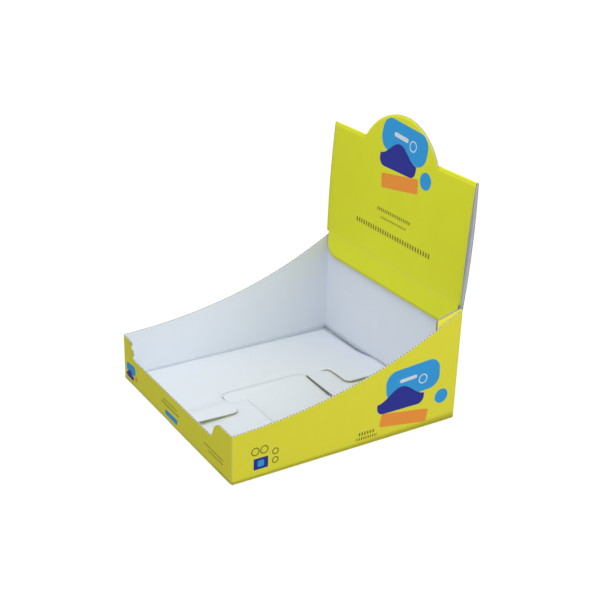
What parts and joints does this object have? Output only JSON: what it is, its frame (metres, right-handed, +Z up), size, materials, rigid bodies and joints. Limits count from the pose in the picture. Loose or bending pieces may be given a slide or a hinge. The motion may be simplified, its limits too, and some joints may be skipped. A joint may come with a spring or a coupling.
{
  "type": "counter display box",
  "caption": "Folded board display tray with torn-open front, sweeping side walls, snap-lock base and a doubled header card with an arch.",
  "frame": {"origin": "centre of the bottom of the whole box, header included", "axes": "+Z up, +Y from the low front wall to the header, +X to the right of someone facing the front"},
  "size_m": [0.28, 0.3074, 0.3335],
  "materials": {
    "printed_board": "satin varnished print outside, matt white liner inside"
  },
  "bodies": {
    "tray": {"tray_blank": "printed_board"},
    "header": {"header_flap": "printed_board"}
  },
  "joints": [
    {"name": "header_flap_hinge", "type": "hinge", "parent": "tray", "child": "header", "pos_m": [0, 0.15048, 0.2915], "axis": [-1, 0, 0], "range_deg": [0, 170]}
  ]
}
